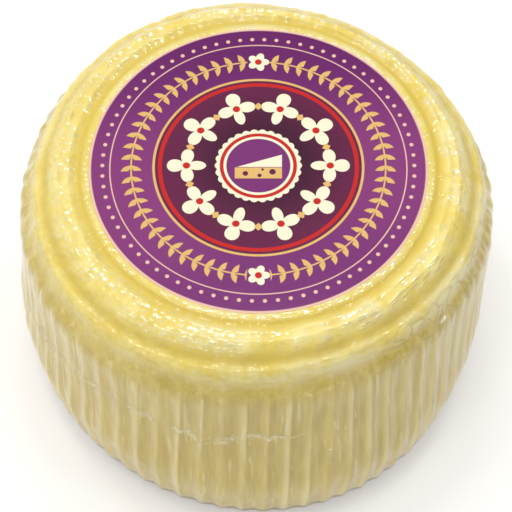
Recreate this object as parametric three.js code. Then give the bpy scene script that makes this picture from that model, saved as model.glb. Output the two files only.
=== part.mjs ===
// A whole wheel of kashkaval, shrink-wrapped in clear film, with a round label on its top face.
// Millimetres, +Z up. The origin is the centre of the flat foot, on the surface the wheel stands on.
// The front of the wheel faces -Y.
import * as THREE from "three";

const point = (radius, height) => new THREE.Vector2(radius, height);

// Driving dimensions
const WHEEL_RADIUS = 106.7; // over the rib crests, at the widest place
const WHEEL_HEIGHT = 131.5; // from the foot to the crest of the main ring
const FOOT_RADIUS = 89; // the flat patch the wheel stands on

const LABEL_RADIUS = 72;
const LABEL_THICKNESS = 0.6;
const LABEL_FACE = 130.6; // the height of the label's printed face
const LABEL_GAP = 0.3; // between the label and the film under it
const LABEL_CENTRE = point(1.8, 1.1); // across the wheel, from the axis of the wall
const LABEL_SEGMENTS = 120;

const RIB_COUNT = 70;
const RIB_HEIGHT = 1.5; // from a valley floor to a crest
const RIB_OFFSET = -0.1; // degrees from +X to the first crest
const RIB_DRIFT = 1.36; // degrees the crests wander from an even spacing
const RIB_DRIFT_START = 34; // degrees, where round the wheel the wandering starts
const RIB_LEAN = 1.5; // degrees a rib turns over a rise of LEAN_RISE
const LEAN_RISE = 100;
const LEAN_HEIGHT = 110; // the height at which the ribs stand at their own angle
const VALLEY_START = 0.42; // the valley floor's edges, as shares of the way to the next crest
const VALLEY_END = 0.64;

// The wheel isn't truly round. It bulges one way at the top and the other way at the foot. oval and
// threeSided are how far two and three even bulges stand out, and turn is the first one's place in degrees.
const BULGE_TOP = { oval: 0.9, threeSided: 1.4, turn: -8.3 };
const BULGE_FOOT = { oval: -0.5, threeSided: -1.6, turn: -12 };
const BULGE_LOW = 20; // the heights between which one bulge turns into the other
const BULGE_HIGH = 125;
const BULGE_INSIDE = 76; // the radii between which it comes in, so that the label lies in a true circle
const BULGE_OUTSIDE = 89;

// The top face was pressed a little to the front and right of the wall's axis, and its innermost ring
// lies round the label.
const TOP_CENTRE = point(0.6, -0.8);
const SHIFT_LOW = 112; // the heights between which the shift comes in
const SHIFT_HIGH = 119;

// The top face: rings left by the mould, each a radius and a height.
const SEAT_HEIGHT = LABEL_FACE - LABEL_THICKNESS - LABEL_GAP;
const SEAT_EDGE = point(73.3, SEAT_HEIGHT);
const INNER_RING = point(74.9, SEAT_HEIGHT + 0.8);
const INNER_GROOVE = point(77.4, SEAT_HEIGHT + 0.3);
const MAIN_RING_INSIDE = point(80.4, WHEEL_HEIGHT);
const MAIN_RING_DIP = point(82.8, WHEEL_HEIGHT - 0.5);
const MAIN_RING_OUTSIDE = point(85, WHEEL_HEIGHT - 0.2);
const MAIN_RING_EDGE = point(88, WHEEL_HEIGHT - 2.4);
const OUTER_GROOVE = point(92.4, 124.7);
const OUTER_RING = point(94.6, 123.7);
const OUTER_RING_EDGE = point(96.1, 121.6);
const NECK = point(96, 118.9); // the crease that the ribs rise out of
const TOP_STEPS = 2; // rows of points from one ring to the next

// The wall over the rib crests, from the neck down to where the foot's edge starts to turn under.
const WALL = [
  NECK,
  point(98.4, 113.9),
  point(102.4, 106),
  point(103.4, 86),
  point(104.9, 62),
  point(WHEEL_RADIUS, 38),
  point(104.5, 18),
  point(102.2, 8),
];
const WALL_STEPS = 2;
const FOOT_ROWS = 4;
const FOOT_INSET = 4; // from the foot's edge to the last row of points under it

// The ribs fade in below the neck and fade out as they turn under the foot.
const RIB_TOP = { fadeStart: NECK.y, full: 108 };
const RIB_FOOT = { fadeStart: 0.2, full: 9 };

const CHEESE_COLOUR = 0xe9d98f;
const LABEL_COLOUR = 0x7a2b78;

const { degToRad: radians, smoothstep, lerp } = THREE.MathUtils;

// A smooth curve through some points, as rows of radius and height.
function rowsThrough(points, steps) {
  return new THREE.SplineCurve(points).getPoints((points.length - 1) * steps);
}

// Rows from the label's seat out to just above the neck.
function topProfile() {
  const rings = [
    SEAT_EDGE,
    INNER_RING,
    INNER_GROOVE,
    MAIN_RING_INSIDE,
    MAIN_RING_DIP,
    MAIN_RING_OUTSIDE,
    MAIN_RING_EDGE,
    OUTER_GROOVE,
    OUTER_RING,
    OUTER_RING_EDGE,
    NECK,
  ];
  return rowsThrough(rings, TOP_STEPS).slice(0, -1);
}

// A quarter of an ellipse from the end of the wall to the edge of the flat foot.
function footProfile() {
  const start = WALL[WALL.length - 1];
  const rows = [];
  for (let row = 1; row <= FOOT_ROWS; row++) {
    const turn = (row / FOOT_ROWS) * (Math.PI / 2);
    const radius = FOOT_RADIUS + (start.x - FOOT_RADIUS) * Math.cos(turn);
    rows.push(point(radius, start.y * (1 - Math.sin(turn))));
  }
  return rows;
}

// How much of the full rib height there is at a height on the wall.
function ribShare(height) {
  const below = 1 - smoothstep(height, RIB_TOP.full, RIB_TOP.fadeStart);
  const above = smoothstep(height, RIB_FOOT.fadeStart, RIB_FOOT.full);
  return below * above;
}

// How far one of the two bulging shapes stands out from a true circle, at an angle.
function standOut(shape, angle) {
  const turned = angle - radians(shape.turn);
  return shape.oval * Math.cos(2 * turned) + shape.threeSided * Math.cos(3 * turned);
}

// How far the wheel stands out from a true circle, at an angle, a radius and a height.
function bulge(angle, radius, height) {
  const share = smoothstep(radius, BULGE_INSIDE, BULGE_OUTSIDE);
  const raised = smoothstep(height, BULGE_LOW, BULGE_HIGH);
  return share * lerp(standOut(BULGE_FOOT, angle), standOut(BULGE_TOP, angle), raised);
}

// How far a row's centre lies from the wall's axis.
function rowShift(radius, height) {
  const centre = LABEL_CENTRE.clone().lerp(TOP_CENTRE, smoothstep(radius, BULGE_INSIDE, BULGE_OUTSIDE));
  return centre.multiplyScalar(smoothstep(height, SHIFT_LOW, SHIFT_HIGH));
}

// The angle of a rib crest. A part number, such as 3.3, falls between two crests.
function ribAngle(rib) {
  const even = radians(RIB_OFFSET) + (rib * 2 * Math.PI) / RIB_COUNT;
  return even - radians(RIB_DRIFT) * Math.sin(2 * (even + radians(RIB_DRIFT_START)));
}

// The columns of points round the wheel: one on every crest.
function plainColumns() {
  const columns = [];
  for (let rib = 0; rib < RIB_COUNT; rib++) columns.push({ angle: ribAngle(rib), isCrest: true });
  return columns;
}

// The columns of points on the ribs: every crest, and both edges of each valley floor.
function ribbedColumns() {
  const columns = [];
  for (let rib = 0; rib < RIB_COUNT; rib++) {
    columns.push({ angle: ribAngle(rib), isCrest: true });
    columns.push({ angle: ribAngle(rib + VALLEY_START), isCrest: false });
    columns.push({ angle: ribAngle(rib + VALLEY_END), isCrest: false });
  }
  return columns;
}

// Adds a closed row of points and returns their numbers. A row is a radius and a height.
function addRow(points, columns, row) {
  const height = row.y;
  const lean = (radians(RIB_LEAN) * (height - LEAN_HEIGHT)) / LEAN_RISE;
  const shift = rowShift(row.x, height);
  return columns.map((column) => {
    const angle = column.angle + lean;
    const depth = column.isCrest ? 0 : RIB_HEIGHT * ribShare(height);
    const radius = row.x - depth + bulge(angle, row.x, height);
    points.push(shift.x + radius * Math.cos(angle), shift.y + radius * Math.sin(angle), height);
    return points.length / 3 - 1;
  });
}

// Joins two rows of equally many points. The first row is the one nearer the top centre.
function joinRows(faces, inner, outer) {
  for (let i = 0; i < inner.length; i++) {
    const next = (i + 1) % inner.length;
    faces.push(inner[i], outer[i], outer[next], inner[i], outer[next], inner[next]);
  }
}

// Joins a row with one point a rib to a row with three. turned is true where the plain row comes last.
function joinPlainToRibbed(faces, plain, ribbed, turned) {
  const add = (a, b, c) => faces.push(...(turned ? [a, c, b] : [a, b, c]));
  for (let rib = 0; rib < RIB_COUNT; rib++) {
    const next = (rib + 1) % RIB_COUNT;
    const first = 3 * rib;
    add(plain[rib], ribbed[first], ribbed[first + 1]);
    add(plain[rib], ribbed[first + 1], ribbed[first + 2]);
    add(plain[rib], ribbed[first + 2], plain[next]);
    add(plain[next], ribbed[first + 2], ribbed[3 * next]);
  }
}

// Closes a row with a fan of triangles round one point on the axis.
function closeRow(points, faces, row, height, turned) {
  const centre = points.length / 3;
  points.push(0, 0, height);
  for (let i = 0; i < row.length; i++) {
    const next = (i + 1) % row.length;
    faces.push(...(turned ? [centre, row[next], row[i]] : [centre, row[i], row[next]]));
  }
}

// The whole wrapped wheel as one closed skin: top face, ribbed wall, rounded foot edge, flat foot.
function wheelGeometry() {
  const points = [];
  const faces = [];
  const plain = plainColumns();
  const ribbed = ribbedColumns();

  const sideRows = [...rowsThrough(WALL, WALL_STEPS), ...footProfile()];
  const top = topProfile().map((row) => addRow(points, plain, row));
  const side = sideRows.map((row) => addRow(points, ribbed, row));
  const foot = addRow(points, plain, point(FOOT_RADIUS - FOOT_INSET, 0));

  closeRow(points, faces, top[0], SEAT_HEIGHT, false);
  for (let i = 1; i < top.length; i++) joinRows(faces, top[i - 1], top[i]);
  joinPlainToRibbed(faces, top[top.length - 1], side[0], false);
  for (let i = 1; i < side.length; i++) joinRows(faces, side[i - 1], side[i]);
  joinPlainToRibbed(faces, foot, side[side.length - 1], true);
  closeRow(points, faces, foot, 0, true);

  const geometry = new THREE.BufferGeometry();
  geometry.setAttribute("position", new THREE.Float32BufferAttribute(points, 3));
  geometry.setIndex(faces);
  geometry.computeVertexNormals();
  return geometry;
}

function makeWheel() {
  const material = new THREE.MeshStandardMaterial({ color: CHEESE_COLOUR, roughness: 0.35, metalness: 0 });
  const wheel = new THREE.Mesh(wheelGeometry(), material);
  wheel.name = "wrapped_wheel";
  return wheel;
}

// The label is a flat disc. CylinderGeometry stands along Y, so it is turned to lie on the top face.
function makeLabel() {
  const disc = new THREE.CylinderGeometry(LABEL_RADIUS, LABEL_RADIUS, LABEL_THICKNESS, LABEL_SEGMENTS);
  const material = new THREE.MeshStandardMaterial({ color: LABEL_COLOUR, roughness: 0.3, metalness: 0 });
  const label = new THREE.Mesh(disc, material);
  label.name = "label";
  label.rotation.x = Math.PI / 2;
  label.position.set(LABEL_CENTRE.x, LABEL_CENTRE.y, LABEL_FACE - LABEL_THICKNESS / 2);
  return label;
}

const kashkaval = new THREE.Group();
kashkaval.add(makeWheel(), makeLabel());

export default kashkaval;
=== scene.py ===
# %% [markdown]
# # A whole kashkaval in shrink film
# The real thing is a drum of semi-hard cheese, about 21 cm across, sealed in clear shrink film. The film
# pulls the sides into upright ribs, the top face carries the rings of its mould, and a round printed label
# lies in the middle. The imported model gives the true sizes. It is loaded first and never changed: this
# lesson dresses it with a cheese, a film, a seam and a printed label.

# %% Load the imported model
import math

import bpy
import numpy as np
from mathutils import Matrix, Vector
from mathutils.bvhtree import BVHTree


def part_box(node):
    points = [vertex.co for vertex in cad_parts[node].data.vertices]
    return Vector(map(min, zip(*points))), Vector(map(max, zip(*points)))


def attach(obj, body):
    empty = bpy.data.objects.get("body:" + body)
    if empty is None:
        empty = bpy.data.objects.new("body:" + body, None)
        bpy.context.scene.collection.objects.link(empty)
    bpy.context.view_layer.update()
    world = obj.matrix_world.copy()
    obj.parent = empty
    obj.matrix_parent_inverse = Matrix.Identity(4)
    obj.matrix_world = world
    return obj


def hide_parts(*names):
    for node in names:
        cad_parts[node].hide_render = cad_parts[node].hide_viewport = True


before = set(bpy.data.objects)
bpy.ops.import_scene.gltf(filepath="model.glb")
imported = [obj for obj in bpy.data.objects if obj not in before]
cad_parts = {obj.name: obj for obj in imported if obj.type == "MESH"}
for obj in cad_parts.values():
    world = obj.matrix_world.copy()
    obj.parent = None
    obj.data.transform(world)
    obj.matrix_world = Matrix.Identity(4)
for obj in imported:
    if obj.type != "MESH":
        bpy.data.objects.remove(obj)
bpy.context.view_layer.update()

MM = 0.001
print("nodes:", sorted(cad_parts))

# %% [markdown]
# ## The outline of the wheel
# A wheel turned round an axis is described best by its half outline: pairs of a radius and a height. A
# smooth curve through a few measured pairs gives every ring of the top face, the bulging wall and the
# rounded foot, so one list of sizes drives the cheese, the film and the seam alike.

# %% Measured sizes, in millimetres
label_low, label_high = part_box("label")
WHEEL_RADIUS = 106.7
WHEEL_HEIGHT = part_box("wrapped_wheel")[1].z / MM
FOOT_RADIUS = 89
LABEL_FACE = label_high.z / MM
SEAT_HEIGHT = LABEL_FACE - 0.9  # the label is 0.6 thick and lies 0.3 over its seat
NECK_RADIUS, NECK_HEIGHT = 96, 118.9
LABEL_CENTRE = ((label_low + label_high) / 2 / MM)[:2]

TOP = [
    (72.05, SEAT_HEIGHT),
    (72.1, LABEL_FACE - 0.05),
    (74.9, SEAT_HEIGHT + 0.8),
    (77.4, SEAT_HEIGHT + 0.3),
    (80.4, WHEEL_HEIGHT),
    (82.8, WHEEL_HEIGHT - 0.5),
    (85, WHEEL_HEIGHT - 0.2),
    (88, WHEEL_HEIGHT - 2.4),
    (91.9, 125.15),
    (94.6, 123.6),
    (96.1, 121.5),
    (NECK_RADIUS, NECK_HEIGHT),
]
WALL = [
    (NECK_RADIUS, NECK_HEIGHT),
    (98.4, 113.9),
    (102.4, 106),
    (103.4, 86),
    (104.9, 62),
    (WHEEL_RADIUS, 38),
    (104.5, 18),
    (102.2, 8),
]
print(f"the wheel is {WHEEL_HEIGHT:.1f} mm tall, its label's seat {SEAT_HEIGHT:.1f} mm up")


# %% A smooth curve through the sizes
def curve_rows(points, steps):
    """A Catmull-Rom curve through the points, with this many rows from each one to the next."""
    known = np.array(points, float)
    place = np.arange((len(known) - 1) * steps + 1) / steps
    first = np.minimum(place.astype(int), len(known) - 2)
    share = (place - first)[:, None]
    before, start, end, after = (known[np.clip(first + k, 0, len(known) - 1)] for k in (-1, 0, 1, 2))
    leave, arrive = (end - before) / 2, (after - start) / 2
    cubic = (2 * start - 2 * end + leave + arrive) * share**3
    square = (-3 * start + 3 * end - 2 * leave - arrive) * share**2
    return cubic + square + leave * share + start


def foot_rows(steps):
    """A quarter of an ellipse from the end of the wall to the flat foot."""
    radius, height = WALL[-1]
    turn = np.arange(1, steps + 1) / steps * math.pi / 2
    return np.c_[FOOT_RADIUS + (radius - FOOT_RADIUS) * np.cos(turn), height * (1 - np.sin(turn))]


def half_outline(top_steps, wall_steps, foot_steps):
    """The whole half outline, from the label's seat to the edge of the foot."""
    return np.r_[curve_rows(TOP, top_steps)[:-1], curve_rows(WALL, wall_steps), foot_rows(foot_steps)]


print("rows in a fine half outline:", len(half_outline(7, 8, 8)))

# %% [markdown]
# ## Ribs and a shape that isn't quite round
# Seventy ribs stand round the wall, like the folds of a cupcake case: a crisp crest, and two slanting
# flanks that meet in a soft valley. Under the neck they are lower and rounder, like the strands of a rope.
# Each rib has its own height and wanders a little on its way down. A short list of seeded random numbers
# gives that, so that the wheel is the same on every run. The wall is also a little oval and a little
# three-sided, by two slow waves round it, because a pressed cheese is never truly round.

# %% Sizes of the ribs
RIB_COUNT = 70
RIB_HEIGHT = 1.5
RIB_OFFSET = math.radians(-0.1)
RIB_DRIFT, RIB_DRIFT_START = math.radians(1.36), math.radians(34)
RIB_LEAN, LEAN_RISE, LEAN_HEIGHT = math.radians(1.5), 100, 110
VALLEY_PLACE = 0.54  # where the valley lies, as a share of the way to the next crest
# How far two even bulges stand out, how far three do, and where the first one lies
BULGE_TOP = (0.9, 1.4, math.radians(-8.3))
BULGE_FOOT = (-0.5, -1.6, math.radians(-12))
BULGE_HEIGHTS = (20, 125)  # the heights between which one bulge turns into the other
TOP_CENTRE = (0.6, -0.8)
SHIFT_HEIGHTS = (112, 119)  # the heights between which the top face moves over to its own centre
OUT_TO_RINGS = (76, 89)  # the radii between which the bulges and the rings' own centre come in
LOW_BY_NECK = 0.4  # the share of their height that the ribs lose just under the neck
RIBS_FULL, FULL_AT_FRONT = 111, 99  # the heights under which the ribs have come in, behind and at the front

chance = np.random.default_rng(7)
rib_strength = 0.75 + 0.25 * chance.random(RIB_COUNT)
rib_wander = chance.normal(0, 0.018, (RIB_COUNT, 3))
print("weakest rib", round(float(rib_strength.min()), 2), "of full height")


# %% How high the surface stands at each place on a rib
def smooth(value, low, high):
    share = np.clip((value - low) / (high - low), 0, 1)
    return share * share * (3 - 2 * share)


def rib_share(height, angle):
    """How much of the full rib height there is at a place. At the front the ribs come in slowly."""
    front = smooth(-np.sin(angle), 0.35, 0.85)
    full, start = RIBS_FULL + (FULL_AT_FRONT - RIBS_FULL) * front, NECK_HEIGHT - front
    by_neck = 1 - LOW_BY_NECK * smooth(height, 100, 112)
    return (1 - smooth(height, full, start)) * by_neck * smooth(height, 0.2, 9)


def rib_shape(phase, height):
    """From 0 on a valley floor to 1 on a crest. phase counts the ribs, with whole numbers on the crests."""
    rib = np.floor(phase + 1 - VALLEY_PLACE).astype(int) % RIB_COUNT
    sway = sum(rib_wander[rib, k] * np.sin((k + 1) * height / 31 + rib) for k in range(3))
    along = np.mod(phase + sway, 1)
    flank = np.where(along < VALLEY_PLACE, along / VALLEY_PLACE, (1 - along) / (1 - VALLEY_PLACE))
    fold = np.clip(1.06 - np.sqrt(flank**2 + 0.06**2), 0, 1) ** 1.35
    lobe = np.clip(1 - flank**2, 0, 1) ** 0.7
    return (fold + (lobe - fold) * smooth(height, 96, 108)) * rib_strength[rib]


def crest_paint_shape(phase, height):
    """1 on painted light up to a crest, partly a film pleat, -1 on painted shade behind it, 0 off them."""
    sway = 0.02 * np.sin(height / 17 + np.floor(phase + 0.5))
    along = np.mod(phase + sway + 0.5, 1) - 0.5
    pale = smooth(along, -0.36, -0.1) * (1 - smooth(along, -0.01, 0.04))
    dark = smooth(along, 0.01, 0.07) * (1 - smooth(along, 0.1, 0.36))
    return pale - dark


print("a crest, its flank and the valley:", rib_shape(np.array([0, 0.15, 0.5]), 60).round(2))


# %% Where round the wheel the columns of points stand
def rib_angle(phase):
    even = RIB_OFFSET + phase * 2 * math.pi / RIB_COUNT
    return even - RIB_DRIFT * np.sin(2 * (even + RIB_DRIFT_START))


def bulge(angle, radius, height):
    """The wheel bulges one way at the top and the other way at the foot."""
    foot, top = (
        oval * np.cos(2 * (angle - turn)) + three_sided * np.cos(3 * (angle - turn))
        for oval, three_sided, turn in (BULGE_FOOT, BULGE_TOP)
    )
    return smooth(radius, *OUT_TO_RINGS) * (foot + (top - foot) * smooth(height, *BULGE_HEIGHTS))


def row_shift(axis, radius, height):
    """The top face lies a little off the wall's axis, and its innermost ring lies round the label."""
    centre = LABEL_CENTRE[axis] + (TOP_CENTRE[axis] - LABEL_CENTRE[axis]) * smooth(radius, *OUT_TO_RINGS)
    return centre * smooth(height, *SHIFT_HEIGHTS)


def place_on_wheel(radius, angle, height, stand_out):
    """Points in metres. stand_out moves them along the radius."""
    reach = radius + bulge(angle, radius, height) + stand_out
    across = row_shift(0, radius, height) + reach * np.cos(angle)
    deep = row_shift(1, radius, height) + reach * np.sin(angle)
    return np.stack([across, deep, height + 0 * across], -1) * MM


print("bulge at the right of the foot, mm:", round(float(bulge(0, 100, 0)), 2))

# %% [markdown]
# ## Uneven surfaces
# The rings aren't smooth: the mould's cloth left bumps on them, and the cheese has settled in soft puffs.
# The wall ripples a little too. A sum of waves round the wheel and across it gives such a field, and
# because each wave goes round a whole number of times, it closes on itself without a join.


# %% A closed random relief
def relief(angle, along, waves, round_count, across_length, seed):
    """Mostly between -1 and 1. About round_count bumps go round; along is in millimetres."""
    dice = np.random.default_rng(seed)
    total = np.zeros(np.broadcast(angle, along).shape)
    for _ in range(waves):
        rounds = int(round_count * dice.uniform(0.5, 1.4))
        slope = 2 * math.pi / across_length * dice.uniform(-1.3, 1.3)
        total += np.cos(rounds * angle + slope * along + dice.uniform(0, 2 * math.pi))
    return total / math.sqrt(waves)


print("a sample of the relief:", relief(np.zeros(3), np.arange(3.0), 12, 110, 4, 1).round(2))


# %% [markdown]
# ## The mesh of a skin
# Both the cheese and the film are one closed skin: rows of points round the wheel, joined by quads, with a
# fan at the middle of the top and of the foot. Building it in code keeps the points where the shape needs
# them: close together on the crests and on the rings, and wide apart in the valleys. Every point also
# carries three marks for the colours to use: how deep in a valley it lies, for painted shade there; where
# painted light and shade fall beside a crest; and how far down it lies in a dip between two rings, for
# painted shade there too.


# %% Join rows of points into one closed mesh
def quads_between(number):
    """Quads that join each closed row of point numbers to the next row."""
    beyond = np.roll(number, -1, axis=1)
    return np.stack([number[:-1], number[1:], beyond[1:], beyond[:-1]], -1).reshape(-1, 4).tolist()


def add_surface(name, points, faces, marks):
    """A smooth object. Each mark has a number for every point."""
    mesh = bpy.data.meshes.new(name)
    mesh.from_pydata(points.tolist(), [], faces)
    for title, values in marks.items():
        mark = mesh.attributes.new(title, "FLOAT", "POINT")
        mark.data.foreach_set("value", values.astype(np.float32))
    mesh.shade_smooth()
    surface = bpy.data.objects.new(name, mesh)
    bpy.context.scene.collection.objects.link(surface)
    print(name, "has", len(mesh.polygons), "faces")
    return surface


def close_skin(name, rows, marks):
    """rows has the shape (rows, columns, 3), in metres. A fan round one more point closes each end."""
    number = np.arange(rows[..., 0].size).reshape(rows.shape[:2])
    top, foot = number.size, number.size + 1
    middles = [(0, 0, row[:, 2].mean()) for row in (rows[0], rows[-1])]
    fans = [(top, a, b) for a, b in zip(number[0], np.roll(number[0], -1))]
    fans += [(foot, b, a) for a, b in zip(number[-1], np.roll(number[-1], -1))]
    points = np.r_[rows.reshape(-1, 3), middles]
    ended = {title: np.r_[values.ravel(), 0, 0] for title, values in marks.items()}
    return add_surface(name, points, quads_between(number) + fans, ended)


# %% Marks and relief on the rings and the wall
DIPS = [(76.4, 2.2, 1.6), (91, 2, 1.3)]  # the radius, the width and the strength of each dip, for the painted shade in it
CALM_PLACE = math.radians(-50)  # the mould left the rings smoothest here, at the front right
FAINT_PLACE = math.radians(-152)  # the ribs are faintest here, at the left
FAINT_VALLEY, FAINT_CREST_PAINT = 0.4, 0.75  # how much of a valley, and of the painted light and shade beside a crest, goes there
PUFF = 0.24  # the size of the soft puffs on the rings, in millimetres
CREASE_FILL, CREASE_WIDTH = 1.1, 2.2  # how the crease under the rings is filled at the front, in millimetres


def dip_mark(radius, height):
    dips = sum(much * np.exp(-(((radius - middle) / wide) ** 2)) for middle, wide, much in DIPS)
    return dips * smooth(height, 104, 116)


def sunk(angle, along, radius, height, pebble, ripple):
    """How far the uneven surface lies under the outline, in millimetres. It hardly ever rises above it."""
    on_rings = smooth(radius, 74, 79) * smooth(height, 100, 112)
    on_wall = smooth(height, 4, 20) * (1 - smooth(height, 100, 116))
    calm = 1 - 0.55 * smooth(np.cos(angle - CALM_PLACE), 0.5, 1)
    bumps = pebble * (1.8 - calm * relief(angle, along, 26, 80, 7, 11))
    puffs = PUFF * (2 - relief(angle, along, 16, 17, 16, 13) - 0.6 * relief(angle, along, 16, 45, 9, 14))
    waves = ripple * (2 - relief(angle, along, 20, 60, 26, 12))
    return (bumps + puffs) * on_rings + waves * on_wall


# %% Work out the rows of a skin at a depth under the outer surface
def skin_rows(outline, phases, depth, pebble, ripple):
    """pebble and ripple are the sizes of the relief in millimetres, on the rings and on the wall."""
    along = np.r_[0, np.cumsum(np.hypot(*np.diff(outline, axis=0).T))][:, None]
    slope = np.gradient(outline, axis=0)
    outward = np.c_[-slope[:, 1], slope[:, 0]] / np.hypot(*slope.T)[:, None]
    radius, height = outline[:, :1], outline[:, 1:]
    dip = dip_mark(radius, height)
    angle = rib_angle(phases) + RIB_LEAN * (height - LEAN_HEIGHT) / LEAN_RISE
    crest, share = rib_shape(phases, height), rib_share(height, angle)
    inset = depth * smooth(radius, 71, 75) + sunk(angle, along, radius, height, pebble, ripple)
    crease = np.exp(-(((height - NECK_HEIGHT) / CREASE_WIDTH) ** 2)) * smooth(-np.sin(angle), 0.35, 0.8)
    radius = radius - inset * outward[:, :1] + CREASE_FILL * crease
    height = height - inset * outward[:, 1:]
    faint = smooth(np.cos(angle - FAINT_PLACE), 0.6, 0.95)
    # The valley mark shapes the ribs, and the colours also use it to paint shade in the valleys
    valley = (1 - crest) * share * (1 - FAINT_VALLEY * faint * smooth(height, 60, 108))
    # Painted light on each crest's lit flank and painted shade behind the crest, fainter at the left
    crest_light_shade = crest_paint_shape(phases, height) * share * (1 - FAINT_CREST_PAINT * faint)
    marks = {"valley": valley, "crest_light_shade": crest_light_shade, "dip": dip + 0 * valley}
    return place_on_wheel(radius, angle, height, -RIB_HEIGHT * valley), marks


def build_skin(name, steps, crest_stops, depth, pebble, ripple):
    """steps are the rows between two sizes of the outline. crest_stops place the columns of each rib."""
    outline = half_outline(*steps)
    phases = (np.arange(RIB_COUNT)[:, None] + crest_stops).reshape(1, -1)
    return close_skin(name, *skin_rows(outline, phases, depth, pebble, ripple))


# %% The cheese, a little inside the outer surface
FILM_DEPTH, CHEESE_DEPTH = 0.05, 0.35  # millimetres
cheese_stops = [0, 0.05, 0.2, 0.38, 0.54, 0.7, 0.82, 0.92]
cheese = build_skin("cheese", (6, 6, 6), cheese_stops, CHEESE_DEPTH, pebble=0.1, ripple=0.08)
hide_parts("wrapped_wheel")
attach(cheese, "root")

# %% The film, drawn tight over it
film_stops = [0, 0.06, 0.14, 0.24, 0.36, 0.48, 0.6, 0.72, 0.84, 0.94]
film = build_skin("film", (6, 7, 6), film_stops, FILM_DEPTH, pebble=0.12, ripple=0.1)
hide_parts("wrapped_wheel")
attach(film, "root")

# %% [markdown]
# ## The seam of the film
# Shrink film is a bag welded along one edge. On this wheel the weld runs round the left half of the wall, a
# little above its middle at the front and lower behind, as a crinkled, whitish band about 7 mm wide. Its
# route is a short list of angles and heights with a smooth line through them, and small random waves
# crinkle it. The band is a flat closed ribbon. Each of its points is found by a ray cast inwards at the
# film, so that the ribbon follows every rib and stands off by less than a tenth of a millimetre.

# %% The route of the seam: degrees round the wheel, and heights in millimetres
SEAM_ROUTE = [(-250, 47), (-215, 46), (-190, 47), (-169, 53), (-160, 64), (-147, 71), (-135, 78),
              (-120, 82), (-106, 77), (-100, 74), (-93, 81), (-84, 79), (-76, 78)]
SEAM_STEPS, SEAM_SIDES = 900, 10
SEAM_HALF_WIDTH, SEAM_HALF_THICKNESS = 3.6, 0.04
SEAM_TAPERS = 60, 80  # the steps over which it widens at its start and narrows at its end


def seam_line():
    """The angle and the height of each step along the seam."""
    route = np.array(SEAM_ROUTE, float)
    angle = np.linspace(route[0, 0], route[-1, 0], SEAM_STEPS)
    spread = np.exp(-(((angle[:, None] - angle[None, :]) / 2.5) ** 2))
    height = spread @ np.interp(angle, *route.T) / spread.sum(1)
    angle = np.radians(angle)
    return angle, height + 0.5 * relief(angle, 0, 14, 110, 1, 21) + 0.2 * relief(angle, 0, 10, 300, 1, 22)


# %% Lay points on the film
def lay_on_film(angle, height, lift):
    """Points in metres, lift millimetres outside the film."""
    mesh = film.data
    tree = BVHTree.FromPolygons([v.co for v in mesh.vertices], [f.vertices for f in mesh.polygons])
    points = []
    for turn, up, out in zip(angle.ravel(), height.ravel(), lift.ravel()):
        outward = Vector((math.cos(turn), math.sin(turn), 0))
        start = 1.3 * WHEEL_RADIUS * MM * outward + Vector((0, 0, up * MM))
        met = tree.ray_cast(start, -outward)[0]
        points.append(met + outward * (out * MM))
    return np.array(points)


# %% Build the seam as a closed ribbon
def build_seam():
    angle, height = seam_line()
    step = np.arange(SEAM_STEPS)
    taper = smooth(step, 0, SEAM_TAPERS[0]) * smooth(-step, 1 - SEAM_STEPS, SEAM_TAPERS[1] - SEAM_STEPS)
    width = SEAM_HALF_WIDTH * (0.1 + 0.9 * taper) * (1 + 0.3 * relief(angle, 0, 12, 260, 1, 23))
    around = np.arange(SEAM_SIDES) / SEAM_SIDES * 2 * math.pi
    sides = height[:, None] + width[:, None] * np.sin(around)
    lift = SEAM_HALF_THICKNESS * (1.3 + np.cos(around)) + 0 * sides
    points = lay_on_film(angle[:, None] + 0 * sides, sides, lift)
    number = np.arange(len(points)).reshape(SEAM_STEPS, SEAM_SIDES)
    ends = [number[0].tolist(), number[-1, ::-1].tolist()]
    middle = np.tile(np.clip(np.cos(around), 0, 1), SEAM_STEPS)
    return add_surface("film_seam", points, quads_between(number) + ends, {"middle": middle})


seam = build_seam()
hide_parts("wrapped_wheel")
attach(seam, "root")

# %% [markdown]
# ## Materials from nodes
# Every finish here is a small network of nodes. A few helpers keep the networks readable: one adds a node
# and sets it up in one call, and others do sums between sockets or numbers. They are functions because a
# line such as times(tree, haze, 0.5) says more than the five lines that it takes to wire up a node.


# %% Add a node and plug it in
def new_material(name):
    material = bpy.data.materials.new(name)
    material.use_nodes = True
    material.node_tree.nodes.clear()
    return material, material.node_tree


def plug(tree, socket, value):
    """Links a socket, or sets a number or a colour on it."""
    if isinstance(value, bpy.types.NodeSocket):
        tree.links.new(value, socket)
    else:
        socket.default_value = value


def add_node(tree, kind, inputs=None, **settings):
    node = tree.nodes.new("ShaderNode" + kind)
    for key, value in settings.items():
        setattr(node, key, value)
    for key, value in (inputs or {}).items():
        plug(tree, node.inputs[key], value)
    return node


def finish_material(tree, shader):
    add_node(tree, "OutputMaterial", {"Surface": shader})


print("nodes can be added")


# %% Sums with nodes
def sums(tree, operation, *values, clamp=False):
    node = add_node(tree, "Math", operation=operation, use_clamp=clamp)
    for socket, value in zip(node.inputs, values):
        plug(tree, socket, value)
    return node.outputs[0]


def times(tree, first, second, clamp=False):
    return sums(tree, "MULTIPLY", first, second, clamp=clamp)


def flip(tree, share):
    """0 where the share is 1, and 1 where it is 0."""
    return sums(tree, "SUBTRACT", 1, share)


def between(tree, value, low, high):
    """Turns low..high into 0..1, smoothly."""
    inputs = {"Value": value, "From Min": low, "From Max": high}
    return add_node(tree, "MapRange", inputs, interpolation_type="SMOOTHSTEP").outputs["Result"]


def blend(tree, share, first, second):
    return add_node(tree, "Mix", {"Factor": share, "A": first, "B": second}).outputs["Result"]


def blend_colours(tree, share, first, second):
    node = add_node(tree, "Mix", {"Factor": share}, data_type="RGBA")
    plug(tree, node.inputs["A"], first)
    plug(tree, node.inputs["B"], second)
    return node.outputs["Result"]


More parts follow.
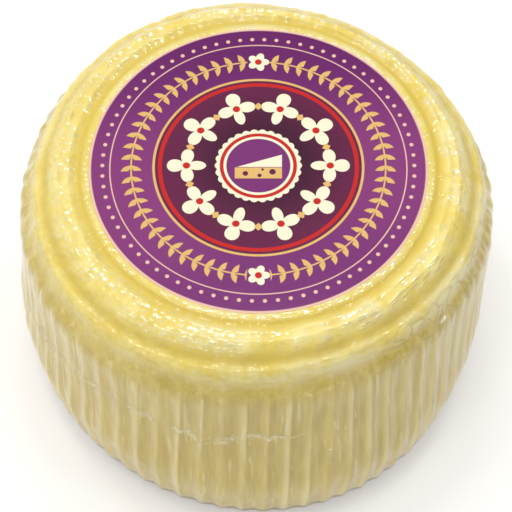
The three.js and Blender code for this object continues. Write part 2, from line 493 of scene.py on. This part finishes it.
def apart(tree, value, centre):
    return sums(tree, "ABSOLUTE", sums(tree, "SUBTRACT", value, centre))


def reach(tree, across, up, centre=(0, 0)):
    """The distance from a centre."""
    squares = [sums(tree, "POWER", apart(tree, *pair), 2) for pair in zip((across, up), centre)]
    return sums(tree, "SQRT", sums(tree, "ADD", *squares))


print("sums are ready")


# %% Places, marks, noise and bumps
def object_place(tree):
    return add_node(tree, "TexCoord").outputs["Object"]


def parts_of(tree, vector):
    return add_node(tree, "SeparateXYZ", {"Vector": vector}).outputs


def upright(tree, place, share):
    """Squeezes the heights to this share, which draws a noise out into upright streaks."""
    return add_node(tree, "Mapping", {"Vector": place, "Scale": (1, 1, share)}).outputs["Vector"]


def mark(tree, name):
    """One of the marks that the mesh's points carry."""
    return add_node(tree, "Attribute", attribute_name=name).outputs["Fac"]


def noise(tree, place, scale, detail=2.0, roughness=0.5):
    inputs = {"Vector": place, "Scale": scale, "Detail": detail, "Roughness": roughness}
    return add_node(tree, "TexNoise", inputs).outputs["Fac"]


def bump(tree, height, strength, distance):
    inputs = {"Height": height, "Strength": strength, "Distance": distance}
    return add_node(tree, "Bump", inputs).outputs["Normal"]


print("node helpers are ready")

# %% Rows of small domes, as the mould's cloth leaves them round the rings
DOME_LENGTH, DASH_LENGTH, DOME_WIDTH, RING_RADIUS = 0.0034, 0.0075, 0.0025, 0.088  # metres


def cloth_print(tree, place):
    """0 in the middle of each dome, growing to about 0.5 between them. At the front right they are longer."""
    parts = parts_of(tree, place)
    angle = sums(tree, "ARCTAN2", parts["X"], times(tree, parts["Y"], -1))
    down_slope = sums(tree, "SUBTRACT", reach(tree, parts["X"], parts["Y"]), parts["Z"])
    across = sums(tree, "DIVIDE", down_slope, DOME_WIDTH)
    prints = []
    for length in (DOME_LENGTH, DASH_LENGTH):
        along = times(tree, angle, RING_RADIUS / length)
        grid = add_node(tree, "CombineXYZ", {"X": along, "Y": across}).outputs["Vector"]
        inputs = {"Vector": grid, "Scale": 1.0, "Randomness": 0.75, "Smoothness": 0.25}
        cells = add_node(tree, "TexVoronoi", inputs, voronoi_dimensions="2D", feature="SMOOTH_F1")
        prints.append(sums(tree, "POWER", cells.outputs["Distance"], 2))
    calm = sums(tree, "COSINE", sums(tree, "SUBTRACT", angle, math.pi / 2 + CALM_PLACE))
    return blend(tree, between(tree, calm, 0.75, 1), *prints)


def print_height(tree, place, domes):
    """0 on the domes and negative between them, by more in some places than in others."""
    uneven = between(tree, noise(tree, place, 55, 2), 0.35, 0.6)
    return times(tree, times(tree, domes, sums(tree, "MULTIPLY_ADD", uneven, 0.9, 0.45)), -1)


print("domes are", DOME_LENGTH / MM, "mm long, or", DASH_LENGTH / MM, "mm")

# %% [markdown]
# ## Cheese
# Kashkaval is butter yellow on the top face, under a whitish haze that grows to the right as painted
# sheen. The pressed sides are more khaki and darker, partly as painted shade, with clouds and faint
# upright streaks where the film touched them. Shade is painted as a deeper yellow in the dips between
# the rings and between the cloth's domes, as a darker tint in the rib valleys, and as dark brown at the
# foot. Beside each rib's crest a pale line is painted light on the lit flank, partly a pleat of film,
# with painted shade behind the crest. Under the wrinkles on the shoulder there is a faint net. Light
# goes a little way into cheese, so the shader has some subsurface scattering.

# %% Colours of the cheese, as linear red, green and blue
TOP_DEEP, TOP_PALE = (0.88, 0.7, 0.17, 1), (0.94, 0.81, 0.32, 1)
# The side's colours are darker than the top's: partly the cheese's own khaki, partly painted shade
SIDE_DEEP, SIDE_PALE = (0.62, 0.46, 0.085, 1), (0.74, 0.585, 0.145, 1)
# Painted shade for the valleys; a pale tint for painted light by the crests, painted sheen and film lines
VALLEY_SHADE_TINT, PALE_LIGHT_AND_FILM_TINT = (0.5, 0.36, 0.07, 1), (0.95, 0.85, 0.48, 1)
# An olive for the net's own lines, and a dark brown for the painted contact shade at the foot
NET_TINT, FOOT_SHADE_TINT = (0.55, 0.4, 0.07, 1), (0.2, 0.12, 0.04, 1)
# Painted shade: behind each crest, and a deeper yellow in the dips and between the cloth's domes
CREST_SHADE_TINT, HOLLOW_SHADE_TINT = (0.5, 0.34, 0.05, 1), (0.73, 0.55, 0.1, 1)

# How strongly each of them is laid on
CLOUD_SHARE, DIP_SHADE_SHARE, CLOTH_SHADE_SHARE, VALLEY_SHADE_SHARE, NET_SHARE, FOOT_SHADE_SHARE = 0.35, 0.6, 0.3, 0.2, 0.5, 0.8
CREST_SHADE_SHARE, CREST_LIGHT_SHARE, LINE_SHARE = 0.75, 0.45, 0.4
# A whitish haze, stronger at the right, where it is painted sheen
HAZE_AND_SHEEN_AT_LEFT, HAZE_AND_SHEEN_AT_RIGHT = 0.2, 0.9

# Heights in metres, where the side's colour turns into the top's, and where the painted contact
# shade at the foot ends
TOP_START, TOP_FULL = 0.106, 0.122
FOOT_FULL, FOOT_END = 0.006, 0.0105
print("colours of the cheese are ready")


# %% The colours of the side and the top
def side_colour(tree, place, clouds):
    """Khaki in upright streaks, darker than the top partly as painted shade, with butter yellow in the
    clouds.
    """
    streaks = noise(tree, upright(tree, place, 0.07), 300, 3, 0.6)
    side = blend_colours(tree, between(tree, streaks, 0.3, 0.7), SIDE_DEEP, SIDE_PALE)
    cloudy = times(tree, between(tree, clouds, 0.5, 0.75), CLOUD_SHARE)
    return blend_colours(tree, cloudy, side, TOP_DEEP)


def top_colour(tree, place):
    """Patches of butter yellow, a haze with painted sheen at the right, and painted shade in the dips."""
    patches = between(tree, noise(tree, place, 75, 3, 0.55), 0.33, 0.68)
    top = blend_colours(tree, patches, TOP_DEEP, TOP_PALE)
    # A whitish haze that grows to the right as painted sheen
    at_right = between(tree, parts_of(tree, place)["X"], -0.07, 0.06)
    strength = sums(tree, "MULTIPLY_ADD", at_right, HAZE_AND_SHEEN_AT_RIGHT - HAZE_AND_SHEEN_AT_LEFT, HAZE_AND_SHEEN_AT_LEFT)
    haze_and_sheen = between(tree, noise(tree, place, 48, 4, 0.6), 0.44, 0.64)
    top = blend_colours(tree, times(tree, haze_and_sheen, strength), top, PALE_LIGHT_AND_FILM_TINT)
    # Painted shade: a deeper yellow down in the dips between the rings
    return blend_colours(tree, times(tree, mark(tree, "dip"), DIP_SHADE_SHARE, clamp=True), top, HOLLOW_SHADE_TINT)


# %% The net on the shoulder, and the painted light and shade beside the crests
NET_PLACE = math.radians(-28)


def shoulder_net(tree, place, height):
    """Thin lines between the wrinkles of the film, on the right shoulder alone."""
    drift = add_node(tree, "TexNoise", {"Vector": place, "Scale": 90.0}).outputs["Color"]
    drift = add_node(tree, "VectorMath", {0: drift, "Scale": 0.006}, operation="SCALE").outputs[0]
    wavy = add_node(tree, "VectorMath", {0: place, 1: drift}, operation="ADD").outputs[0]
    cells = add_node(tree, "TexVoronoi", {"Vector": wavy, "Scale": 120.0}, feature="DISTANCE_TO_EDGE")
    line = flip(tree, between(tree, cells.outputs["Distance"], 0.015, 0.09))
    low, high = between(tree, height, 0.094, 0.106), between(tree, height, 0.119, 0.124)
    parts = parts_of(tree, place)
    angle = sums(tree, "ARCTAN2", parts["Y"], parts["X"])
    facing = sums(tree, "COSINE", sums(tree, "SUBTRACT", angle, NET_PLACE))
    line = times(tree, line, between(tree, facing, 0.82, 0.94))
    return times(tree, line, sums(tree, "SUBTRACT", low, high))


def add_crest_paint(tree, colour, place, on_top):
    """Painted light and shade beside the crests, weaker in places, and thin pale lines on the wall."""
    crest_light_shade = mark(tree, "crest_light_shade")
    patchy = between(tree, noise(tree, upright(tree, place, 0.07), 70, 3), 0.32, 0.62)
    # The dark is painted shade behind each crest; the pale is painted light on its lit flank, partly a pleat
    fold = times(tree, times(tree, crest_light_shade, -CREST_SHADE_SHARE, clamp=True), patchy)
    colour = blend_colours(tree, fold, colour, CREST_SHADE_TINT)
    pale = times(tree, times(tree, crest_light_shade, CREST_LIGHT_SHARE, clamp=True), patchy)
    colour = blend_colours(tree, pale, colour, PALE_LIGHT_AND_FILM_TINT)
    lines = between(tree, noise(tree, upright(tree, place, 0.04), 420, 2), 0.6, 0.7)
    lines = times(tree, times(tree, lines, LINE_SHARE), flip(tree, on_top))
    return blend_colours(tree, lines, colour, PALE_LIGHT_AND_FILM_TINT)


# %% The cheese's material
def cheese_colour(tree, place, on_top, clouds, cloth):
    height = parts_of(tree, place)["Z"]
    colour = blend_colours(tree, on_top, side_colour(tree, place, clouds), top_colour(tree, place))
    # Painted shade, darker deep in the valleys between the ribs
    colour = blend_colours(tree, times(tree, mark(tree, "valley"), VALLEY_SHADE_SHARE), colour, VALLEY_SHADE_TINT)
    net = times(tree, shoulder_net(tree, place, height), NET_SHARE)
    colour = add_crest_paint(tree, blend_colours(tree, net, colour, NET_TINT), place, on_top)
    # Painted contact shade: dark brown low on the foot
    by_foot = flip(tree, between(tree, height, FOOT_FULL, FOOT_END))
    colour = blend_colours(tree, times(tree, by_foot, FOOT_SHADE_SHARE), colour, FOOT_SHADE_TINT)
    # Painted shade: a deeper yellow in the hollows between the cloth's domes, on the top
    cloth_shade = times(tree, between(tree, cloth, -0.1, -0.5), times(tree, on_top, CLOTH_SHADE_SHARE))
    return blend_colours(tree, cloth_shade, colour, HOLLOW_SHADE_TINT)


def cheese_material():
    material, tree = new_material("kashkaval cheese")
    place = object_place(tree)
    clouds = noise(tree, place, 26, 4, 0.6)
    edge = sums(tree, "MULTIPLY_ADD", clouds, 0.012, -0.006)
    on_top = between(tree, sums(tree, "ADD", parts_of(tree, place)["Z"], edge), TOP_START, TOP_FULL)
    cloth = print_height(tree, place, cloth_print(tree, place))
    uneven = sums(tree, "MULTIPLY_ADD", noise(tree, place, 420, 3), 0.6, times(tree, cloth, on_top))
    shader = add_node(tree, "BsdfPrincipled", {"Normal": bump(tree, uneven, 1.0, 0.0002)})
    plug(tree, shader.inputs["Base Color"], cheese_colour(tree, place, on_top, clouds, cloth))
    shader.inputs["Roughness"].default_value = 0.55
    shader.inputs["Specular IOR Level"].default_value = 0.25
    shader.inputs["Subsurface Weight"].default_value = 0.25
    shader.inputs["Subsurface Radius"].default_value = (1.0, 0.7, 0.3)
    shader.inputs["Subsurface Scale"].default_value = 0.004
    finish_material(tree, shader.outputs["BSDF"])
    return material


cheese.data.materials.append(cheese_material())
print("nodes in the cheese's material:", len(cheese.data.materials[0].node_tree.nodes))

# %% [markdown]
# ## Film
# Clear film hardly has a colour: it is seen by what it mirrors. A mix of a transparent and a glossy shader
# does that, with more gloss at a flat angle, as a real surface has. On the rings the gloss is kept to the
# middles of the cloth's small domes. Each of them can mirror a lamp as a sharp dot, and together they give
# the film its rows of sparkles. On the wall a bump of upright noise crinkles it. A few blisters hold air.


# %% Blisters, where a little air is caught under the film
BLISTERS = [(-38.5, 111, 1.6), (-87, 115, 0.9), (-85.3, 114.7, 0.8), (-72, 64, 0.8), (-52, 96, 0.7)]
BLISTER_REACH = 1.5  # how far a blister's rise reaches, in its own radii


def wall_place(turn, up):
    """The place in metres on the wall at an angle in degrees and a height in millimetres."""
    turn = math.radians(turn)
    heights_up, radii_up = [row[1] for row in WALL[::-1]], [row[0] for row in WALL[::-1]]
    out = float(np.interp(up, heights_up, radii_up))
    out += float(bulge(turn, out, up))
    return out * math.cos(turn) * MM, out * math.sin(turn) * MM, up * MM


def blisters(tree, place):
    """Half the radius in the middle of each blister, and 0 off them, so that the larger ones rise more."""
    total = 0.0
    for turn, up, radius in BLISTERS:
        ends = {0: place, 1: wall_place(turn, up)}
        away = add_node(tree, "VectorMath", ends, operation="DISTANCE").outputs["Value"]
        share = sums(tree, "DIVIDE", away, BLISTER_REACH * radius * MM)
        dome = sums(tree, "SUBTRACT", 1, sums(tree, "POWER", share, 2), clamp=True)
        total = sums(tree, "MAXIMUM", total, times(tree, dome, radius / 2))
    return total


print("blisters:", len(BLISTERS))

# %% The film's material
WALL_GLOSS, CALM_GLOSS = 0.055, 0.003  # the share of light mirrored by the wall, and by rings off the dots
DOT_GLOSS, HIGH_DOT_GLOSS = 0.1, 0.21  # on a dot low on the rings, and on the highest ones
BLISTER_GLOSS, EDGE_GLOSS = 0.12, 0.8  # how much more on a blister, and at a flat angle
RINGS_START, RINGS_FULL = 0.117, 0.124  # the heights in metres between which the rings' film begins
FILM_BUMP, BLISTER_RISE, RING_UNEVEN = 0.0007, 2.2, 0.3  # the bump in metres, and two heights as shares of it


def bright_dots(tree, place, domes):
    """1 in the middles of the domes, in the lively patches and less in the dips, and 0 elsewhere."""
    lively = between(tree, noise(tree, place, 110, 2), 0.34, 0.5)
    lively = times(tree, lively, sums(tree, "MULTIPLY_ADD", mark(tree, "dip"), -0.6, 1.0, clamp=True))
    return times(tree, flip(tree, between(tree, domes, 0.03, 0.2)), lively)


def film_relief(tree, place, on_rings, domes, bubbles):
    """Upright creases on the wall, the cloth's print on the rings, soft unevenness there, and blisters."""
    creases = noise(tree, upright(tree, place, 0.12), 330, 3, 0.6)
    raised = blend(tree, on_rings, creases, print_height(tree, place, domes))
    raised = sums(tree, "MULTIPLY_ADD", bubbles, BLISTER_RISE, raised)
    return sums(tree, "MULTIPLY_ADD", noise(tree, place, 170, 2), times(tree, on_rings, RING_UNEVEN), raised)


def mix_with_clear(tree, share, gloss, clear_colour):
    """Finishes a material that is clear, apart from a share of gloss."""
    clear = add_node(tree, "BsdfTransparent", {"Color": clear_colour})
    shader = add_node(tree, "MixShader", {"Fac": share})
    plug(tree, shader.inputs[1], clear.outputs["BSDF"])
    plug(tree, shader.inputs[2], gloss.outputs["BSDF"])
    finish_material(tree, shader.outputs["Shader"])


def film_material():
    material, tree = new_material("clear shrink film")
    place = object_place(tree)
    height = parts_of(tree, place)["Z"]
    on_rings = between(tree, height, RINGS_START, RINGS_FULL)
    domes, bubbles = cloth_print(tree, place), blisters(tree, place)
    normal = bump(tree, film_relief(tree, place, on_rings, domes, bubbles), 1.0, FILM_BUMP)
    high_up = between(tree, height, 0.126, 0.1295)
    dot_gloss = sums(tree, "MULTIPLY_ADD", high_up, HIGH_DOT_GLOSS - DOT_GLOSS, DOT_GLOSS)
    ring_gloss = sums(tree, "MULTIPLY_ADD", bright_dots(tree, place, domes), dot_gloss, CALM_GLOSS)
    shine = blend(tree, on_rings, WALL_GLOSS, ring_gloss)
    shine = sums(tree, "MULTIPLY_ADD", bubbles, BLISTER_GLOSS, shine)
    edge_on = add_node(tree, "LayerWeight", {"Blend": 0.5, "Normal": normal}).outputs["Facing"]
    shine = sums(tree, "MULTIPLY_ADD", sums(tree, "POWER", edge_on, 5), EDGE_GLOSS, shine)
    gloss = add_node(tree, "BsdfGlossy", {"Color": (1, 1, 1, 1), "Roughness": 0.05, "Normal": normal})
    mix_with_clear(tree, shine, gloss, (0.985, 0.985, 0.98, 1))
    return material


film.data.materials.append(film_material())
print("film: clear, mirroring at flat angles and in dots")

# %% [markdown]
# ## The look of the seam
# Film that is welded double is milky: light is thrown back by its wrinkles. The same mix of clear and
# glossy does for it, with a rougher, warmer gloss that mirrors the pale ground softly. Noise breaks it into
# wrinkles and patches, and a mark on its points keeps it to the ribbon's outer face.

# %% The seam's material
SEAM_COVER = 0.42  # the most that it hides of what lies behind


def seam_material():
    material, tree = new_material("welded film seam")
    place = object_place(tree)
    wrinkles = between(tree, noise(tree, place, 420, 3, 0.65), 0.28, 0.66)
    patches = between(tree, noise(tree, place, 110, 2), 0.36, 0.6)
    cover = times(tree, wrinkles, times(tree, mark(tree, "middle"), SEAM_COVER))
    gloss = add_node(tree, "BsdfGlossy", {"Color": (1, 0.94, 0.7, 1), "Roughness": 0.35})
    mix_with_clear(tree, times(tree, cover, patches), gloss, (1, 1, 1, 1))
    return material


seam.data.materials.append(seam_material())
print("seam: whitish, partly see-through")

# %% [markdown]
# ## Label
# The label is a flat printed disc of glossy film. Its print is drawn with plain shapes worked out in the
# material: lengths from a few centres give discs and rings, angles give petals, and a wrapped length
# repeats a bead, a leaf or a flower round a ring. So the print is sharp at any size and needs no picture.
# Each shape is a mask, painted over the ones before it, as a screen printer lays down one ink after another.
# Two soft lilac spots on the ground are no ink but painted glare.

# %% Inks, and a lilac for painted glare, as linear red, green and blue
DEEP_PURPLE, PURPLE, GLARE_LILAC = (0.12, 0.008, 0.11, 1), (0.19, 0.03, 0.165, 1), (0.36, 0.07, 0.23, 1)
PLUM, DARK_PLUM = (0.13, 0.014, 0.06, 1), (0.045, 0.006, 0.025, 1)
GOLD, CREAM = (0.76, 0.48, 0.16, 1), (0.95, 0.86, 0.63, 1)
RED, PINK_GOLD = (0.56, 0.018, 0.014, 1), (0.86, 0.55, 0.42, 1)
print("inks are ready")


# %% Masks for the shapes, with lengths in millimetres
def within(tree, length, limit, blur=0.25):
    """1 where the length is below the limit and 0 above it, with a soft edge as wide as the blur."""
    return sums(tree, "MULTIPLY_ADD", sums(tree, "SUBTRACT", limit, length), 1 / blur, 0.5, clamp=True)


def repeat(tree, value, pitch):
    """Folds a length so that it runs from minus half a pitch to half a pitch, again and again."""
    return sums(tree, "WRAP", value, pitch / 2, -pitch / 2)


def petals(tree, across, up, size, count, depth):
    """The distance outside a flower with this many petals; below 0 is inside it."""
    turn = times(tree, sums(tree, "ARCTAN2", up, across), count / 2)
    wave = sums(tree, "ABSOLUTE", sums(tree, "COSINE", turn))
    edge = sums(tree, "MULTIPLY_ADD", wave, size * depth, size * (1 - depth))
    return sums(tree, "SUBTRACT", reach(tree, across, up), edge)


print("masks are ready")


# %% A print that grows by one ink at a time
class Print:
    """Holds a material's nodes, the place on the label in millimetres, and the colour painted so far."""

    def __init__(self, tree, across, up, ground):
        self.tree, self.across, self.up, self.colour = tree, across, up, ground
        self.radius = reach(tree, across, up)
        self.angle = sums(tree, "ARCTAN2", up, across)

    def paint(self, mask, ink):
        self.colour = blend_colours(self.tree, mask, self.colour, ink)

    def disc(self, centre, radius, ink):
        self.paint(within(self.tree, reach(self.tree, self.across, self.up, centre), radius), ink)

    def ring(self, radius, half_width, ink):
        self.paint(within(self.tree, apart(self.tree, self.radius, radius), half_width), ink)

    def glow(self, centre, near, far, strength, ink):
        """Full within the near length from a centre, and gone beyond the far one."""
        away = reach(self.tree, self.across, self.up, centre)
        self.paint(times(self.tree, flip(self.tree, between(self.tree, away, near, far)), strength), ink)


print("a print can be started")

# %% The ground, and the rim with its beads
BEAD_COUNT, BEAD_RING, BEAD_RADIUS = 78, 66.2, 0.85
LINE_RING, RIM = 63, 71


def draw_ground(art):
    """Purple that is deeper in the upper half, with painted lilac glare at the left and the right."""
    art.paint(times(art.tree, between(art.tree, art.up, 5, 68), 0.8), DEEP_PURPLE)
    # Painted glare: soft lilac spots at the left and the right
    art.glow((-50, -18), 5, 62, 0.3, GLARE_LILAC)
    art.glow((56, 0), 5, 55, 0.3, GLARE_LILAC)


def draw_rim(art):
    tree = art.tree
    turns = times(tree, art.angle, BEAD_COUNT / (2 * math.pi))
    along = times(tree, repeat(tree, turns, 1), 2 * math.pi * BEAD_RING / BEAD_COUNT)
    art.paint(within(tree, reach(tree, along, art.radius, (0, BEAD_RING)), BEAD_RADIUS), PINK_GOLD)
    art.ring(LINE_RING, 0.25, PINK_GOLD)
    art.paint(flip(tree, within(tree, art.radius, RIM, 0.5)), PINK_GOLD)


print("beads:", BEAD_COUNT)

# %% A wreath of leaves, with a small flower where its two arms meet
WREATH_RADIUS, LEAF_COUNT = 54, 60
LEAF_TILT, LEAF_HALF_LENGTH, LEAF_HALF_WIDTH, STEM_HALF_WIDTH = math.radians(48), 3.3, 1.3, 0.35
ARM_START, ARM_END = 0.09, math.pi - 0.09  # radians from the top


def draw_wreath(art):
    tree = art.tree
    spread = sums(tree, "ABSOLUTE", sums(tree, "ARCTAN2", art.across, art.up))
    on_arms = times(tree, within(tree, spread, ARM_END, 0.01), within(tree, ARM_START, spread, 0.01))
    turns = times(tree, spread, LEAF_COUNT / (2 * math.pi))
    along = times(tree, repeat(tree, turns, 1), 2 * math.pi * WREATH_RADIUS / LEAF_COUNT)
    off = apart(tree, art.radius, WREATH_RADIUS)
    cosine, sine = math.cos(LEAF_TILT), math.sin(LEAF_TILT)
    length = sums(tree, "MULTIPLY_ADD", along, cosine, times(tree, off, sine))
    side = sums(tree, "MULTIPLY_ADD", along, -sine, times(tree, off, cosine))
    share = sums(tree, "POWER", apart(tree, sums(tree, "DIVIDE", length, LEAF_HALF_LENGTH), 1), 2)
    leaf = sums(tree, "MULTIPLY_ADD", share, LEAF_HALF_WIDTH, sums(tree, "ABSOLUTE", side))
    art.paint(times(tree, within(tree, leaf, LEAF_HALF_WIDTH), on_arms), GOLD)
    art.paint(times(tree, within(tree, off, STEM_HALF_WIDTH), on_arms), GOLD)
    for up in (WREATH_RADIUS, -WREATH_RADIUS):
        flower_up = sums(tree, "SUBTRACT", art.up, up)
        art.paint(within(tree, petals(tree, art.across, flower_up, 4.8, 5, 0.4), 0), CREAM)
        art.disc((0, up), 1.5, RED)


print("leaves in a full wreath:", 2 * LEAF_COUNT)

# %% The dark middle, with a ring of four-petalled flowers
MIDDLE_RADIUS, FLOWER_COUNT, FLOWER_RING, FLOWER_SIZE, DIAMOND_SIZE = 45, 10, 30.5, 8.3, 1.9


def draw_middle(art):
    art.disc((0, 0), MIDDLE_RADIUS, GOLD)
    art.disc((0, 0), MIDDLE_RADIUS - 1.1, PLUM)
    art.glow((3, 2), 12, 42, 0.9, DARK_PLUM)
    art.ring(MIDDLE_RADIUS - 3.2, 0.9, RED)


def draw_flowers(art):
    tree = art.tree
    pitch = 2 * math.pi * FLOWER_RING / FLOWER_COUNT
    turns = times(tree, art.angle, FLOWER_COUNT / (2 * math.pi))
    up = sums(tree, "SUBTRACT", art.radius, FLOWER_RING)
    across = times(tree, repeat(tree, turns, 1), pitch)
    art.paint(within(tree, petals(tree, across, up, FLOWER_SIZE, 4, 0.7), 0), CREAM)
    art.paint(within(tree, reach(tree, across, up), 1.6), RED)
    beside = times(tree, repeat(tree, sums(tree, "ADD", turns, 0.5), 1), pitch)
    diamond = sums(tree, "ADD", sums(tree, "ABSOLUTE", beside), sums(tree, "ABSOLUTE", up))
    art.paint(within(tree, diamond, DIAMOND_SIZE), GOLD)


print("flowers:", FLOWER_COUNT)

# %% A scalloped disc in the centre, with a wedge of cheese
CENTRE_RADIUS, CENTRE_SCALLOPS = 18.5, 30
WEDGE_FOOT, WEDGE_HALF = -6.5, 10  # how far up its foot lies, and half its width
WEDGE_SIDE, WEDGE_RISE = 5.5, 6.5  # the height of its cut side, and how far its top rises across it
WEDGE_HOLES = [(-5.5, -4, 1.2), (0.5, -5, 0.9), (6, -3.2, 1.4), (1.8, -2, 0.6)]


def draw_centre(art):
    tree = art.tree
    art.paint(within(tree, petals(tree, art.across, art.up, CENTRE_RADIUS, CENTRE_SCALLOPS, 0.05), 0), CREAM)
    art.ring(15.6, 0.8, RED)
    art.disc((0, 0), 13.6, PURPLE)


def draw_wedge(art):
    tree = art.tree
    in_width = within(tree, sums(tree, "ABSOLUTE", art.across), WEDGE_HALF)
    above = sums(tree, "SUBTRACT", art.up, WEDGE_FOOT)
    in_side = within(tree, apart(tree, above, WEDGE_SIDE / 2), WEDGE_SIDE / 2)
    slope = sums(tree, "MULTIPLY_ADD", art.across, WEDGE_RISE / (2 * WEDGE_HALF), WEDGE_SIDE + WEDGE_RISE / 2)
    under_slope = within(tree, sums(tree, "SUBTRACT", above, slope), 0)
    over_side = flip(tree, within(tree, above, WEDGE_SIDE + 0.3))
    art.paint(times(tree, times(tree, under_slope, over_side), in_width), CREAM)
    art.paint(times(tree, in_side, in_width), GOLD)
    for across, up, radius in WEDGE_HOLES:
        art.disc((across, up), radius, PLUM)


print("holes in the wedge:", len(WEDGE_HOLES))

# %% The label's material
def label_material():
    material, tree = new_material("printed label")
    place = object_place(tree)
    metres = parts_of(tree, place)
    across, up = (sums(tree, "MULTIPLY_ADD", metres[axis], 1 / MM, -LABEL_CENTRE[axis]) for axis in (0, 1))
    art = Print(tree, across, up, PURPLE)
    for draw in (draw_ground, draw_wreath, draw_middle, draw_flowers, draw_centre, draw_wedge, draw_rim):
        draw(art)
    wrinkles = sums(tree, "MULTIPLY_ADD", noise(tree, place, 160, 2), 0.12, noise(tree, place, 22, 2))
    inputs = {"Base Color": art.colour, "Normal": bump(tree, wrinkles, 0.5, 0.0015)}
    shader = add_node(tree, "BsdfPrincipled", inputs)
    shader.inputs["Roughness"].default_value = 0.2
    shader.inputs["Specular IOR Level"].default_value = 0.25
    finish_material(tree, shader.outputs["BSDF"])
    return material


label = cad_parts["label"]
label.data.materials.clear()
label.data.materials.append(label_material())
print("label nodes:", len(label.data.materials[0].node_tree.nodes))

# %% [markdown]
# ## Floor, lamps and camera
# The photograph is a studio shot on plain white, from high in front. A pale floor that glows a little, as
# a light table does, keeps the ground white and lifts the lower sides. Thirteen small lamps give the
# sparkles: the eight brighter ones hang overhead, and five stand further out, in front and at the right.
# The room is brighter on the left, which lights the left flank of every rib.

# %% Floor
FLOOR_HALF = 3.0  # metres
corners = [(x * FLOOR_HALF, y * FLOOR_HALF, 0) for x, y in ((-1, -1), (1, -1), (1, 1), (-1, 1))]
floor_mesh = bpy.data.meshes.new("floor")
floor_mesh.from_pydata(corners, [], [(0, 1, 2, 3)])
floor = bpy.data.objects.new("floor", floor_mesh)
bpy.context.scene.collection.objects.link(floor)
floor_paint, floor_tree = new_material("pale floor")
floor_shader = add_node(floor_tree, "BsdfPrincipled", {"Base Color": (0.8, 0.8, 0.8, 1)})
floor_shader.inputs["Roughness"].default_value = 1.0
floor_shader.inputs["Specular IOR Level"].default_value = 0.0
floor_shader.inputs["Emission Color"].default_value = (1, 1, 1, 1)
floor_shader.inputs["Emission Strength"].default_value = 0.3
finish_material(floor_tree, floor_shader.outputs["BSDF"])
floor_mesh.materials.append(floor_paint)
print("floor:", 2 * FLOOR_HALF, "m square")

# %% Lamps, by their places across and deep, in metres
LAMP_HEIGHT, LAMP_AIM = 1.3, Vector((0, 0, 0.08))
OVERHEAD = [(-0.65, 0.1), (-0.42, 0.38), (-0.22, 0.12), (0.02, 0.36), (0.16, -0.02), (0.38, 0.3),
            (0.62, 0.05), (-0.1, -0.2)]
FURTHER_OUT = [(-0.7, -0.8), (0.05, -1.0), (0.6, -0.75), (0.95, -0.4), (1.1, 0)]


def add_lamps(name, places, size, power):
    """Round lamps, each turned to the wheel."""
    for number, (across, deep) in enumerate(places):
        lamp = bpy.data.lights.new(f"{name} {number + 1}", "AREA")
        lamp.shape, lamp.size, lamp.energy = "DISK", size, power
        holder = bpy.data.objects.new(lamp.name, lamp)
        holder.location = (across, deep, LAMP_HEIGHT)
        holder.rotation_euler = (LAMP_AIM - holder.location).to_track_quat("-Z", "Y").to_euler()
        bpy.context.scene.collection.objects.link(holder)


add_lamps("overhead", OVERHEAD, 0.2, 1.0)
add_lamps("further out", FURTHER_OUT, 0.12, 0.5)
print("lamps:", [lamp.name for lamp in bpy.data.lights])


# %% The light of the room, brightest behind on the left
BRIGHT_SIDE = (-0.74, 0.36, 0.57)  # a direction
LIGHT_BRIGHT, LIGHT_DIM = 0.76, 0.13


def light_room():
    world = bpy.data.worlds.new("studio")
    bpy.context.scene.world = world
    world.use_nodes = True
    tree = world.node_tree
    direction = add_node(tree, "TexCoord").outputs["Generated"]
    facing = add_node(tree, "VectorMath", {0: direction, 1: BRIGHT_SIDE}, operation="DOT_PRODUCT")
    inputs = {"From Min": -0.7, "From Max": 0.9, "To Min": LIGHT_DIM, "To Max": LIGHT_BRIGHT}
    strength = add_node(tree, "MapRange", inputs, interpolation_type="SMOOTHSTEP")
    plug(tree, strength.inputs["Value"], facing.outputs["Value"])
    background = tree.nodes["Background"]
    background.inputs["Color"].default_value = (1, 1, 1, 1)
    plug(tree, background.inputs["Strength"], strength.outputs["Result"])


light_room()
bpy.context.scene.view_settings.view_transform = "Standard"
print("room light from", LIGHT_DIM, "to", LIGHT_BRIGHT)

# %% Camera
CAMERA_PLACE = (0.0008, -0.5115, 0.9117)
CAMERA_DOWN = 1.03115  # radians below the horizon
FOCAL_PIXELS, PICTURE_PIXELS = 2200, 512
camera_data = bpy.data.cameras.new("camera")
camera_data.sensor_width = 36
camera_data.lens = FOCAL_PIXELS / PICTURE_PIXELS * camera_data.sensor_width
camera = bpy.data.objects.new("camera", camera_data)
camera.location = CAMERA_PLACE
camera.rotation_euler = (math.pi / 2 - CAMERA_DOWN, 0, 0)
bpy.context.scene.collection.objects.link(camera)
bpy.context.scene.camera = camera
print("lens:", round(camera_data.lens, 1), "mm")
